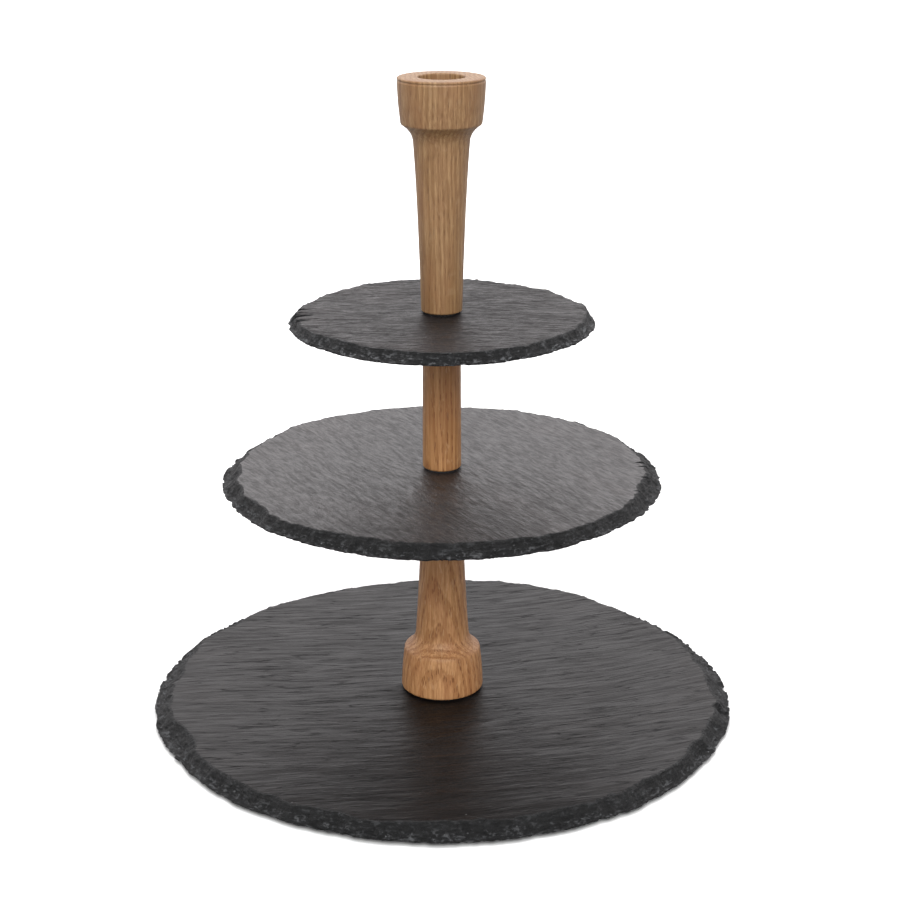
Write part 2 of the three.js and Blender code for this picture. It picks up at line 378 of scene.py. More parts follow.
def ramp(tree, value, stops):
    """A colour for each value, from (place, colour) stops."""
    node = wire(tree, "ShaderNodeValToRGB", {"Fac": value})
    band = node.color_ramp
    while len(band.elements) < len(stops):
        band.elements.new(0.5)
    for element, (place, colour) in zip(band.elements, stops):
        element.position = place
        element.color = (*colour, 1)
    return node.outputs["Color"]


def blended(tree, share, first, second, kind="MIX"):
    """Mixes two colours by share."""
    inputs = {MIX_SHARE: share}
    for place, colour in ((MIX_FIRST, first), (MIX_SECOND, second)):
        inputs[place] = colour if isinstance(colour, bpy.types.NodeSocket) else (*colour, 1)
    return wire(tree, "ShaderNodeMix", inputs, data_type="RGBA", blend_type=kind).outputs[MIX_RESULT]


def layered(tree, colour, layers):
    """Lays (share, colour) layers over a colour, one after another."""
    for share, over in layers:
        colour = blended(tree, share, colour, over)
    return colour


def tinted(tree, colour, tint):
    """A colour multiplied by another."""
    return blended(tree, 1.0, colour, tint, "MULTIPLY")


def surface(tree, colour, roughness, height, depth_mm, metallic=0.0, specular=0.5):
    """One Principled shader, with the height as bump."""
    bump = wire(tree, "ShaderNodeBump", {"Height": height, "Distance": depth_mm * MM, "Strength": 1.0})
    inputs = {
        "Base Color": colour, "Roughness": roughness, "Metallic": metallic,
        "Specular IOR Level": specular, "Normal": bump.outputs[0],
    }
    return wire(tree, "ShaderNodeBsdfPrincipled", inputs).outputs[0]


def end_in(tree, shader):
    """Ends a material in this shader."""
    wire(tree, "ShaderNodeOutputMaterial", {"Surface": shader})


def new_material(name):
    """An empty node material, and its tree."""
    material = bpy.data.materials.new(name)
    material.use_nodes = True
    material.node_tree.nodes.clear()
    return material, material.node_tree


def attribute(tree, name):
    """Coordinates stored in the mesh under this name."""
    return wire(tree, "ShaderNodeAttribute", attribute_name=name).outputs["Vector"]


def object_mm(tree):
    """Object coordinates in millimetres."""
    place = wire(tree, "ShaderNodeTexCoord").outputs["Object"]
    return stretched(tree, place, (1 / MM, 1 / MM, 1 / MM))


# Slate materials

SHADE_COLOUR = (0.003, 0.0027, 0.0029)  # painted shade inside cracks and pits
SPECK_COLOUR = (0.2, 0.2, 0.2)
EDGE_STOPS = [
    (0.45, (0.0014, 0.0015, 0.0017)), (0.52, (0.007, 0.0072, 0.0078)), (0.60, (0.085, 0.087, 0.091)),
]
# towards the top of the trimmed edge: darker rock and painted shade of its crevices together
EDGE_TOP_ROCK_AND_SHADE = (0.003, 0.0031, 0.0033)
BRUISE_COLOUR = (0.17, 0.175, 0.18)
TONE_RANGE = (0.36, 0.64)  # what the blended noises usually lie between


def slate_ledges(tree, grain, look):
    """Steps where one cleavage layer ends and the next shows."""
    long, wide = look["ripples"]
    scale = (0.55 * long, 0.5 * wide, 0.1)
    layers = cloud(tree, grain, scale, detail=4, roughness=0.55, distortion=look["bend"])
    layers = product(tree, layers, 11)
    step = rise(tree, maths(tree, "FRACT", layers), 0.82, 1.0)
    return maths(tree, "ADD", maths(tree, "FLOOR", layers), step)


def slate_cracks(tree, grain, look):
    """Fine dark cracks along the grain, broken into short lengths."""
    long, wide = look["ripples"]
    scale = (0.9 * long, 1.6 * wide, 0.1)
    split = cloud(tree, grain, scale, detail=3, roughness=0.4, distortion=look["bend"])
    line = rise(tree, maths(tree, "ABSOLUTE", maths(tree, "SUBTRACT", split, 0.5)), 0.006, 0.028, 1, 0)
    broken = rise(tree, cloud(tree, grain, (0.05, 0.25, 0.1), detail=3), 0.38, 0.54)
    return product(tree, line, broken, look["cracks"])


def slate_pits(tree, grain):
    """Small hollows, in patches."""
    hollow = rise(tree, cells(tree, grain, (0.35, 0.5, 0.5)), 0.14, 0.34, 1, 0)
    return product(tree, hollow, rise(tree, cloud(tree, grain, (0.3, 0.4, 0.4), detail=4), 0.52, 0.62))


def slate_specks(tree, grain):
    """A few small pale specks."""
    speck = rise(tree, cells(tree, grain, (0.45, 0.8, 0.8)), 0.10, 0.2, 1, 0)
    rare = rise(tree, cloud(tree, grain, (0.15, 0.2, 0.3), detail=4, roughness=0.7), 0.66, 0.7)
    return product(tree, speck, rare)


def slate_face(name, look):
    """Riven cleavage face: ripples and cracks along the grain, fine fibres and a satin sheen."""
    material, tree = new_material(name)
    grain = attribute(tree, "grain")
    long, wide = look["ripples"]
    bend, relief, pits = look["bend"], look["relief"], look["pits"]
    ripple = cloud(tree, grain, (long, wide, 0.2), detail=3, roughness=0.5, distortion=bend)
    fibre = cloud(tree, grain, (*look["fibres"], 0.7), detail=4, roughness=0.6, distortion=bend)
    strand = cloud(tree, grain, (long, 2 * wide, 0.3), detail=4, roughness=0.6, distortion=bend)
    grit = cloud(tree, grain, (1.3, 2.2, 2.0), detail=3, roughness=0.65)
    patch = cloud(tree, grain, (0.02, 0.04, 0.02), detail=4, roughness=0.55)
    ledge = slate_ledges(tree, grain, look)
    crack = slate_cracks(tree, grain, look)
    hollow = slate_pits(tree, grain)

    tone = scaled_sum(tree, [(ripple, 0.45), (fibre, 0.35), (grit, 0.2)])
    colour = ramp(tree, tone, list(zip(TONE_RANGE, (look["dark"], look["light"]))))
    pale = tuple(1.5 * part for part in look["light"])
    # the pale patches and specks are the slate's own colour; the cracks and pits get painted shade
    colour = layered(tree, colour, [
        (rise(tree, patch, 0.46, 0.72, 0, 0.6), pale), (crack, SHADE_COLOUR),
        (product(tree, hollow, pits), SHADE_COLOUR), (slate_specks(tree, grain), SPECK_COLOUR),
    ])

    sheen = scaled_sum(tree, [(strand, 0.6), (fibre, 0.4)])
    rough, smoothest = look["roughness"] + look["glint"], look["roughness"] - look["glint"]
    satin = rise(tree, sheen, *TONE_RANGE, rough, smoothest)
    roughness = maths(tree, "ADD", satin, product(tree, crack, 0.3))
    height = scaled_sum(tree, [
        (ripple, 0.13 * relief), (fibre, 0.08 * relief), (ledge, 0.035 * relief), (grit, 0.03 * relief),
        (crack, -0.09), (hollow, -0.12 * pits),
    ])
    end_in(tree, surface(tree, colour, roughness, height, 1.0, specular=look["specular"]))
    return material


def slate_edge(name, look):
    """Trimmed edge: fresh broken slate, rough, thinly layered, with pale bruises along the lip."""
    material, tree = new_material(name)
    around = attribute(tree, "around")
    height_above = wire(tree, "ShaderNodeSeparateXYZ", {0: around}).outputs[2]
    layers = cloud(tree, around, (0.14, 0.3, 1.3), detail=4, roughness=0.6, distortion=0.8)
    rubble = cloud(tree, around, (0.3, 0.36, 0.4), detail=6, roughness=0.7, distortion=0.6)
    facets = cells(tree, around, (0.3, 0.36, 0.45))

    colour = ramp(tree, scaled_sum(tree, [(layers, 0.3), (rubble, 0.7)]), EDGE_STOPS)
    colour = tinted(tree, colour, (look["paleness"],) * 3)
    bruise = rise(tree, cells(tree, around, (0.5, 0.5, 0.6)), 0.14, 0.34, 1, 0)
    chosen = rise(tree, cloud(tree, around, (0.3, 0.3, 0.5), detail=5, roughness=0.75), 0.58, 0.65)
    near_lip = rise(tree, height_above, 1.5, 4.5, 1, 0.25)
    # towards its top the edge is painted darker, as darker rock and painted shade together; the pale bruises
    # near the lip are the slate's own colour
    colour = layered(tree, colour, [
        (rise(tree, height_above, 1.2, 3.6, 0, 0.6), EDGE_TOP_ROCK_AND_SHADE),
        (product(tree, bruise, product(tree, chosen, near_lip)), BRUISE_COLOUR),
    ])

    roughness = rise(tree, rubble, 0.3, 0.7, 0.5, 0.8)
    height = scaled_sum(tree, [(facets, 0.8), (rubble, 1.8), (layers, 0.7)])
    end_in(tree, surface(tree, colour, roughness, height, 1.0, specular=0.3))
    return material


# Other materials

LATE_WOOD = (0.52, 0.285, 0.128)
EARLY_WOOD = (0.34, 0.16, 0.062)
STREAK_COLOUR = (0.31, 0.145, 0.055)
FIBRE_COLOUR = (0.26, 0.11, 0.04)
BLOTCH_COLOUR = (0.36, 0.15, 0.062)
RAY_COLOUR = (0.55, 0.34, 0.18)
PORE_COLOUR = (0.15, 0.05, 0.015)
WANDER = 6  # how far the growth rings stray, in millimetres


def oak_growth(tree, place, pith, tilt):
    """Distance from the pith, distance round it, and height along it, with the rings straying a little."""
    drift = cloud(tree, place, (0.06, 0.06, 0.012), output="Color")
    centred = vector_maths(tree, "SUBTRACT", drift, (0.5, 0.5, 0.5))
    wandering = vector_maths(tree, "ADD", place, stretched(tree, centred, (WANDER, WANDER, 0)))
    parts = wire(tree, "ShaderNodeSeparateXYZ", {0: wandering}).outputs
    flat = []
    for axis in (0, 1):
        away = maths(tree, "SUBTRACT", parts[axis], pith[axis])
        flat.append(maths(tree, "ADD", away, maths(tree, "MULTIPLY", parts[2], tilt[axis])))
    east, north = flat
    joined = wire(tree, "ShaderNodeCombineXYZ", {0: east, 1: north}).outputs[0]
    reach = wire(tree, "ShaderNodeVectorMath", {0: joined}, operation="LENGTH").outputs["Value"]
    bearing = maths(tree, "MULTIPLY", maths(tree, "ARCTAN2", north, east), math.hypot(*pith))
    return reach, bearing, parts[2]


def oak(name, pith, tilt, spacing, tint, figure):
    """Oiled oak, solid all through: growth rings round a pith outside the piece, with pores and rays.

    pith is where the tree's middle was, in X and Y, tilt how it leans, spacing the width of a growth ring,
    tint what the colours are multiplied by, and figure how strongly the pores and rays show.
    """
    material, tree = new_material(name)
    place = object_mm(tree)
    reach, bearing, up = oak_growth(tree, place, pith, tilt)
    ring = maths(tree, "FRACT", maths(tree, "DIVIDE", reach, spacing))
    early = product(tree, rise(tree, ring, 0.0, 0.1), rise(tree, ring, 0.25, 0.62, 1, 0))
    fibre = cloud(tree, place, (2.1, 2.1, 0.045), detail=3, roughness=0.65)
    streak = cloud(tree, place, (0.6, 0.6, 0.01), detail=3, roughness=0.6)
    blotch = cloud(tree, place, (0.09, 0.09, 0.03), detail=3, roughness=0.6)
    along_rays = wire(tree, "ShaderNodeCombineXYZ", {0: bearing, 1: reach, 2: up}).outputs[0]
    ray = rise(tree, cloud(tree, along_rays, (1.3, 0.05, 0.16), detail=2, roughness=0.5), 0.60, 0.68)
    vessel = rise(tree, cells(tree, place, (1.5, 1.5, 0.19)), 0.24, 0.40, 1, 0)
    crowd = maths(tree, "ADD", product(tree, early, 0.8), 0.1)
    pore = maths(tree, "MULTIPLY", vessel, crowd, clamp=True)

    colour = layered(tree, LATE_WOOD, [
        (product(tree, early, 0.75), EARLY_WOOD),
        (rise(tree, streak, 0.40, 0.62, 0.0, 0.65), STREAK_COLOUR),
        (rise(tree, fibre, 0.40, 0.64, 0.0, 0.6), FIBRE_COLOUR),
        (rise(tree, blotch, 0.45, 0.7, 0.0, 0.35), BLOTCH_COLOUR),
        (product(tree, ray, 0.45 * figure), RAY_COLOUR),
        (product(tree, pore, 0.85 * figure), PORE_COLOUR),
    ])
    colour = tinted(tree, colour, tint)

    roughness = rise(tree, fibre, 0.3, 0.7, 0.44, 0.6)
    height = maths(tree, "SUBTRACT", product(tree, fibre, 0.3), pore)
    end_in(tree, surface(tree, colour, roughness, height, 0.14, specular=0.4))
    return material


def metal(name, colour, roughness):
    """Plated or plain metal with a fine drawn texture and faint tarnish."""
    material, tree = new_material(name)
    place = object_mm(tree)
    drawn = cloud(tree, place, (3, 3, 0.6), detail=3)
    tarnish = cloud(tree, place, (0.4, 0.4, 0.4), detail=4)
    dull = tuple(0.72 * part for part in colour)
    shade = blended(tree, rise(tree, tarnish, 0.4, 0.7), colour, dull)
    shine = rise(tree, tarnish, 0.3, 0.7, roughness, roughness + 0.2)
    end_in(tree, surface(tree, shade, shine, drawn, 0.02, metallic=1.0))
    return material


def rubber():
    """Matt black rubber with a fine moulded grain."""
    material, tree = new_material("rubber")
    place = object_mm(tree)
    dust = cloud(tree, place, (0.5, 0.5, 0.5), detail=4)
    skin = cloud(tree, place, (6, 6, 6), detail=2)
    colour = ramp(tree, dust, [(0.35, (0.009, 0.009, 0.009)), (0.75, (0.022, 0.021, 0.02))])
    end_in(tree, surface(tree, colour, rise(tree, dust, 0.3, 0.7, 0.75, 0.9), skin, 0.05))
    return material


# Slate plates

FACE, EDGE = 0, 1  # the two material slots of a plate
OUTER_ZONE = 35  # outline vertices of a CAD plate lie beyond this radius
LEVEL = 0.05  # vertices within this height of each other are on one outline
TRIM_SHARE = 0.72  # how much of the CAD plate's bevel the struck edge takes up
LIP_FLAKES = ((11, 1.3), (3.6, 1.0))  # width and depth of the flakes broken from the lip
LIP_RAGGEDNESS = 0.5
FACE_CHIPS = ((5.5, 1.3, 50), (2.8, 0.6, 60))  # width, depth and added seed of the chips along the face's rim
FLAKE_RARITY = 1.6  # the higher this is, the fewer flakes reach their full depth
LAYER_THICKNESS = 1.3
LEAST_REACH = 1.5  # how wide the struck edge is at the least
LEAST_EDGE_HEIGHT = 0.35
TORN_STEP = 1.2  # how far a torn notch lies below the face
PROBE_REACH = 26
PROBE_STEP = 0.2
UNDERSIDE_RINGS = 12
UNDERSIDE_INSET = 0.8
LIP_CORNER = (0.25, 0.3)  # how far in from the lip and how far up the lower corner is
EDGE_RINGS = 21
EDGE_CROWDING = 0.9  # below 1, the rings of the struck edge crowd towards the face
MOST_HALVINGS = 4
CELL_STRETCH = 1.25  # halving may lengthen a ring's cells to this many times "cell"
EDGE_MARGIN = 1.2  # the edge's material reaches this far past it onto the face


def node_points(node):
    """The vertices of a CAD plate in millimetres, and how far each is from the axis."""
    points = np.array([vertex.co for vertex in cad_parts[node].data.vertices]) / MM
    return points, np.hypot(points[:, 0], points[:, 1])


def cad_outlines(node, angles):
    """Radii of the CAD plate's lip and top-face outlines at these angles, in millimetres."""
    points, radius = node_points(node)
    low, high = extents(node)
    bearing = np.arctan2(points[:, 1], points[:, 0])
    outlines = []
    for height in (low + LIP_HEIGHT, high):
        picked = (radius > OUTER_ZONE) & (np.abs(points[:, 2] - height) < LEVEL)
        outlines.append(np.interp(angles, bearing[picked], radius[picked], period=TURN))
    return outlines


def hole_mouth_radius(node):
    """Radius of the hole at the plate's underside: the base plate's is countersunk."""
    points, radius = node_points(node)
    return radius[points[:, 2] < points[:, 2].min() + LEVEL].min()


def rim_of(node):
    """A plate's even outline: for each point round it, its angle, its place along the rim and its lip."""
    plate = PLATES[node]
    angles = steps_round(plate["count"])
    low, high = extents(node)
    lip, cad_rim = cad_outlines(node, angles)
    return SimpleNamespace(
        plate=plate, node=node, angles=angles, cos=np.cos(angles), sin=np.sin(angles),
        low=low, thick=high - low, lip=lip, run=TRIM_SHARE * (lip - cad_rim),
        arc=angles * lip.max(), length=TURN * lip.max(),
    )


def flakes(rim, width, rng):
    """Splits a rim into flakes about this wide: each point's place in its flake, -1 to 1, and its number."""
    count = max(3, round(rim.length / width))
    ends = np.cumsum(rng.uniform(0.4, 1.6, count))
    ends *= rim.length / ends[-1]
    starts = np.concatenate([[0], ends[:-1]])
    which = np.minimum(np.searchsorted(ends, rim.arc, side="right"), count - 1)
    place = 2 * (rim.arc - starts[which]) / (ends[which] - starts[which]) - 1
    return place, which, count


def broken_lip(rim, rng):
    """The lip's radius once shallow arcs and a fine ragged line are broken from the even outline."""
    lip = rim.lip
    for width, depth in LIP_FLAKES:
        place, which, count = flakes(rim, width, rng)
        lip = lip - depth * (rng.uniform(0, 1, count) ** FLAKE_RARITY)[which] * (1 - place**2)
    across, up = rim.cos * rim.length / 9, rim.sin * rim.length / 9
    return lip - LIP_RAGGEDNESS * np.abs(fractal(across, up, seed=rim.plate["seed"], octaves=3))


def bowls(rim, inward, width, depth, seed):
    """Depth of the overlapping shallow bowls struck out of the strip along a rim."""
    count = max(3, round(rim.length / width))
    cell = rim.length / count
    along, across = np.broadcast_arrays(rim.arc / cell, inward / cell)
    column, row = np.floor(along).astype(np.int64), np.floor(across).astype(np.int64)
    deepest = np.zeros(along.shape)
    for step_along, step_across in itertools.product((-1, 0, 1), repeat=2):
        here = np.stack([(column + step_along) % count, row + step_across, np.zeros_like(row)])
        away_along = along - column - step_along - hashed(here, seed)
        away_across = across - row - step_across - hashed(here, seed + 1)
        reach = 0.55 + 0.45 * hashed(here, seed + 2)
        strength = hashed(here, seed + 3)
        share = 1 - (away_along**2 + away_across**2) / reach**2
        deepest = np.maximum(deepest, depth * strength * share)
    return deepest


def splintered(rim, rng):
    """How far in from the lip the torn notches reach at each angle, and 0 outside them."""
    start, end, width, reach = rim.plate["splinters"]
    place, which, count = flakes(rim, width, rng)
    strength = rng.uniform(0, 1, count)[which]
    middle, half = math.radians((start + end) / 2), math.radians((end - start) / 2)
    away = np.abs((rim.angles - middle + math.pi) % TURN - math.pi)
    lean = rng.uniform(-0.5, 0.5, count)[which]
    narrow = 1 - np.abs(place - lean) / (1 + np.sign(place - lean) * -lean)
    return np.where((away < half) & (strength > 0.45), reach * (0.5 + 0.5 * strength) * narrow, 0)


def grain_place(x, y, plate):
    """Distances along and across the cleavage ridges, which bend and wander a little."""
    turn = math.radians(plate["grain_turn"])
    along = x * math.cos(turn) + y * math.sin(turn)
    across = y * math.cos(turn) - x * math.sin(turn)
    past = np.clip(along - plate["bend_from"], 0, None)
    across = across - plate["grain_bend"] * past**2 / 2
    across = across + 2.4 * noise(along / 60, across / 40, seed=plate["seed"] + 5)
    return along, across


def riven(x, y, plate):
    """How far the split face lies below the plate's full height."""
    along, across = grain_place(x, y, plate)
    seed = plate["seed"]
    long, wide = plate["ridges"]
    swell = noise(along / (2.5 * long), across / (3.5 * wide), seed=seed)
    ripple = noise(along / long, across / wide, seed=seed + 1)
    finer = noise(along / (0.5 * long), across / (0.42 * wide), seed=seed + 2)
    steps = 2.6 * noise(along / (1.7 * long), across / (1.6 * wide), seed=seed + 3)
    terrace = np.floor(steps) + smooth(0.75, 1.0, steps - np.floor(steps))
    depth = 0.5 + 0.25 * swell + 0.3 * ripple + 0.07 * finer + 0.16 * terrace
    clear = smooth(plate["hub"], plate["hub"] + 9, np.hypot(x, y))
    return plate["relief"] * np.clip(depth, 0, None) * clear


def face_height(rim, radius, inward):
    """Height of the split face, less the chips along its rim, which are deepest at the rear."""
    plate = rim.plate
    face = rim.thick - riven(radius * rim.cos, radius * rim.sin, plate)
    chips = sum(bowls(rim, inward, width, depth, plate["seed"] + more) for width, depth, more in FACE_CHIPS)
    rearward = 0.3 + 0.7 * smooth(-0.3, 0.35, rim.sin)
    return face - chips * rearward * (1 - smooth(rim.run, rim.run + 3.5, inward))


def struck_edge(rim, inward):
    """Height of the trimmed edge above the underside, this far in from the even lip."""
    seed = rim.plate["seed"]
    struck = np.zeros(np.broadcast(rim.arc, inward).shape)
    for number, (width, depth) in enumerate(rim.plate["strikes"]):
        struck += bowls(rim, inward, width, depth, seed + 10 * number)
    for angle, centre, radius, depth in rim.plate["scars"]:
        away = (rim.arc - angle / 360 * rim.length + rim.length / 2) % rim.length - rim.length / 2
        struck = np.maximum(struck, depth - depth * (away**2 + (inward - centre)**2) / radius**2)
    girth = rim.length / TURN
    x, y = girth * rim.cos, girth * rim.sin
    crumble = fractal(x / 4, y / 4, inward / 3, seed=seed + 4, octaves=4, gain=0.6)
    height = LIP_HEIGHT + (rim.thick - LIP_HEIGHT) * (inward / rim.run) ** 1.35
    height = height - smooth(0, 3, inward) * struck + smooth(0, 0.8, inward) * 0.45 * crumble
    layers = height / LAYER_THICKNESS + 0.9 * noise(x / 14, y / 14, inward / 9, seed=seed + 6)
    ledge = np.floor(layers) + smooth(0.2, 0.9, layers - np.floor(layers))
    return height + 0.8 * (ledge - layers) * smooth(0, 1.5, inward)


def edge_reach(rim, rng):
    """How far in from the even lip the face starts, and how much a torn notch is the cause."""
    probes = np.arange(0, PROBE_REACH, PROBE_STEP)[:, None]
    face = face_height(rim, rim.lip - probes, probes)
    own_reach = probes[np.argmax(struck_edge(rim, probes) >= face, axis=0), 0]
    torn = splintered(rim, rng)
    return np.maximum(np.maximum(own_reach, torn), LEAST_REACH), smooth(0, 1, torn - own_reach)


class Skin:
    """The rings of a plate's skin: the underside, the struck edge, the face and the wall of the hole."""

    def __init__(self, rim):
        self.rim = rim
        self.rings = []
        self.bands = []
        self.around = []

    def add(self, radius, height, band, halvings=0):
        """Adds a ring, with every second point left out this many times, and its band's material."""
        rim = self.rim
        radius, height, _ = np.broadcast_arrays(radius, height, rim.arc)
        step = 2**halvings
        ring = np.stack([radius * rim.cos, radius * rim.sin, rim.low + height], axis=1)
        self.rings.append(ring[::step])
        self.bands.append(band)
        self.around.append(np.stack([rim.arc, radius, height], axis=1)[::step])

    def add_underside(self, lip, mouth):
        """From the mouth of the hole to just inside the lip."""
        outer = lip - UNDERSIDE_INSET
        for share in np.linspace(0, 1, UNDERSIDE_RINGS):
            self.add(mouth + (outer - mouth) * share, 0, FACE, round(MOST_HALVINGS * (1 - share)))
        self.bands[-1] = EDGE
        self.add(lip - LIP_CORNER[0], LIP_CORNER[1], EDGE)

    def add_edge(self, lip, face_rim, reach, torn_share):
        """From the lip in to the rim of the face."""
        rim = self.rim
        for share in np.linspace(0, 1, EDGE_RINGS) ** EDGE_CROWDING:
            radius = lip + (face_rim - lip) * share
            inward = rim.lip - radius
            pulled = TORN_STEP * torn_share * smooth(0, 0.7, reach - inward)
            height = np.maximum(struck_edge(rim, inward), LEAST_EDGE_HEIGHT)
            self.add(radius, np.minimum(height, face_height(rim, radius, inward) - pulled), EDGE)

    def halvings_at(self, radius):
        """How often the point count is halved, so that cells stay roughly square towards the hub."""
        plate = self.rim.plate
        halvings = 0
        while TURN * radius / (plate["count"] / 2 ** (halvings + 1)) < CELL_STRETCH * plate["cell"]:
            halvings += 1
        before = round(math.log2(plate["count"] / len(self.rings[-1])))
        return min(halvings, MOST_HALVINGS, before + 1)

    def add_face(self, face_rim):
        """From the rim of the face in to the hole."""
        rim = self.rim
        count = round((face_rim.mean() - HOLE_RADIUS) / rim.plate["cell"])
        for share in np.linspace(0, 1, count + 1)[1:]:
            radius = face_rim + (HOLE_RADIUS - face_rim) * share
            inward = rim.lip - radius
            band = EDGE if np.mean(inward - rim.run) < EDGE_MARGIN else FACE
            self.add(radius, face_height(rim, radius, inward), band, self.halvings_at(radius.mean()))
        self.bands[-1] = EDGE

    def add_hole(self, mouth):
        """The wall of the hole, and where it starts to widen into the base plate's 45 degree countersink."""
        self.add(HOLE_RADIUS, self.rim.thick / 2, EDGE, MOST_HALVINGS)
        if self.rim.node == "base_slate":
            self.add(HOLE_RADIUS, mouth - HOLE_RADIUS, EDGE, MOST_HALVINGS)


def slate_plate(node):
    """A riven slate with a knapped edge, in place of the CAD plate."""
    rim = rim_of(node)
    rng = np.random.default_rng(rim.plate["seed"])
    lip = broken_lip(rim, rng)
    reach, torn_share = edge_reach(rim, rng)
    face_rim = rim.lip - np.maximum(reach, rim.lip - lip + LEAST_REACH)
    mouth = hole_mouth_radius(node)

    skin = Skin(rim)
    skin.add_underside(lip, mouth)
    skin.add_edge(lip, face_rim, reach, torn_share)
    skin.add_face(face_rim)
    skin.add_hole(mouth)

    grain = []
    for ring in skin.rings:
        along, across = grain_place(ring[:, 0], ring[:, 1], rim.plate)
        grain.append(np.stack([along, across, ring[:, 2]], axis=1))
    shell(
        node, "_stone", skin.rings, rim.plate["body"], [node + "_face", node + "_edge"],
        band_materials=skin.bands, closed=True, vectors={"grain": grain, "around": skin.around},
    )


# Turned oak

COLLAR_ROUND = 1.1  # radius of the wide end's rounded corner
END_CHAMFER = 0.5
SCORE_HEIGHT = 1.5
SCORE_DEPTH = 0.4
SCORE_WIDTH = 0.35


def turning(length):
    """Outside of the lower post and of the handle, from the wide end."""
    collar_end = (COLLAR_RADIUS, COLLAR_ROUND)
    neck = (NECK_RADIUS, NECK_HEIGHT)
    rim = bezier([(COLLAR_RADIUS - COLLAR_ROUND, 0), (COLLAR_RADIUS, 0), collar_end], 6)
    collar = bezier([collar_end, (20.9, 11), (WAIST_RADIUS, COLLAR_HEIGHT - 0.4)], 14)
    shoulder = bezier([(WAIST_RADIUS - 0.4, COLLAR_HEIGHT + 0.3), (14.5, 25.3), neck], 12)
    stem = bezier([neck, (12.4, 44), (10.9, 80), (STEM_END_RADIUS, length)], 40)
    end = [(STEM_END_RADIUS, length - END_CHAMFER), (STEM_END_RADIUS - END_CHAMFER, length)]
    return rim + collar[1:] + shoulder + stem[1:-1] + end


def scored(profile):
    """The same profile with a fine line cut round it just short of the wide end."""
    cut = []
    for radius, height in spread(profile, 0.3):
        away = (height - SCORE_HEIGHT) / SCORE_WIDTH
        cut.append((radius - SCORE_DEPTH * math.exp(-(away**2)), height))
    return cut


def insert_bore():
    """The bottom bore, which holds a threaded insert, from its blind end to its chamfered mouth."""
    depth = INSERT_BORE_DEPTH
    return [(0, depth), (INSERT_BORE_RADIUS, depth), (INSERT_BORE_RADIUS, 0.4), (INSERT_BORE_RADIUS + 0.4, 0)]


def stud_bore(length):
    """The top bore, which holds a stud, from its chamfered mouth to its blind end."""
    radius, floor = STUD_BORE_RADIUS, length - STUD_DEPTH
    return [(radius + 0.3, length), (radius, length - 0.3), (radius, floor), (0, floor)]


def candle_socket(length):
    """A bored socket with an eased mouth, and the small centre mark that the bit leaves."""
    floor = length - SOCKET_DEPTH
    radius = SOCKET_RADIUS
    mouth = bezier([(radius + 0.9, length), (radius, length), (radius, length - 0.9)], 5)
    wall = [(radius, length - 8), (radius, floor + 0.3), (radius - 0.3, floor)]
    mark = [(6, floor), (1.4, floor), (0.9, floor - 0.8), (0, floor - 1.1)]
    return mouth + wall + mark


def post(node, outline, upper_bore, material):
    """One turned piece, which rides on the body of its own name."""
    low = extents(node)[0]
    profile = [(radius, low + height) for radius, height in insert_bore() + outline + upper_bore]
    shell(node, "_turned", turned(profile, POST_SIDES), node, [material])


def posts():
    """The lower post, the middle post, and the handle, which is the lower post's turning upside down."""
    length = height_of("handle")
    middle = height_of("middle_post")
    upright = turning(length)
    cut = scored(upright[:-1]) + upright[-1:]
    flipped = [(radius, length - height) for radius, height in reversed(cut)]
    straight = eased([(9.1, 0), (9.65, 0.55), (9.45, middle - 0.5), (8.95, middle)], 0.6)
    post("lower_post", upright, stud_bore(length), "oak_lower")
    post("middle_post", spread(straight, 4), stud_bore(middle), "oak_middle")
    post("handle", flipped, candle_socket(length), "oak_handle")


# Hardware

THREAD_SIDES = 48
RINGS_PER_PITCH = 10
THREAD_CREST = THREAD_RADIUS - 0.02
THREAD_ROOT = THREAD_RADIUS - THREAD_DEPTH
END_RADIUS = THREAD_ROOT - 0.2  # where the chamfer at a thread's end begins
TAPPED_CREST = THREAD_RADIUS + 0.1
TAPPED_ROOT = THREAD_ROOT + 0.12
KEY_RADIUS = 2.0  # of the circle inside the screw's hexagonal socket
WASHER_BORE_RADIUS = 3.4
CUP_WALL = 0.85


def thread_rings(low, high, crest, root, start_chamfer=None, end_chamfer=None):
    """Rings whose radius follows a right-hand screw thread.

    The chamfers are the radius where each end's 45 degree cone begins, or None for a plain end.
    """
    rings = []
    for height in np.linspace(low, high, int((high - low) / PITCH * RINGS_PER_PITCH) + 1):
        phase = (height / PITCH - steps_round(THREAD_SIDES) / TURN) % 1
        ridge = np.clip(1.35 - np.abs(phase - 0.5) * 4, 0, 1)
        radius = root + (crest - root) * ridge
        if start_chamfer is not None:
            radius = np.minimum(radius, start_chamfer + height - low)
        if end_chamfer is not None:
            radius = np.minimum(radius, end_chamfer + high - height)
        rings.append(level_ring(radius, height, THREAD_SIDES))
    return rings


def stud(node, body):
    """A headless threaded stud, chamfered at both ends."""
    low, high = extents(node)
    thread = thread_rings(low, high, THREAD_CREST, THREAD_ROOT, END_RADIUS, END_RADIUS)
    rings = turned([(0, low)], THREAD_SIDES) + thread + turned([(0, high)], THREAD_SIDES)
    shell(node, "_threaded", rings, body, ["steel"])


def insert(node, body):
    """Brass insert with a tapped bore, its outside hidden in the wood."""
    low, high = extents(node)
    profile = [(4.4, low), (4.9, low + 0.3), (5, low + 0.6), (5, high - 0.5), (4.6, high)]
    tapped = thread_rings(low, high, TAPPED_CREST, TAPPED_ROOT)
    rings = turned(profile, THREAD_SIDES) + tapped[::-1]
    shell(node, "_tapped", rings, body, ["brass"], closed=True)


def hexagon_ring(height, grow=0.0):
    """A hexagonal ring, for the screw's key socket."""
    sixth = TURN / 6
    radius = KEY_RADIUS / np.cos((steps_round(THREAD_SIDES) % sixth) - sixth / 2) + grow
    return level_ring(radius, height, THREAD_SIDES)


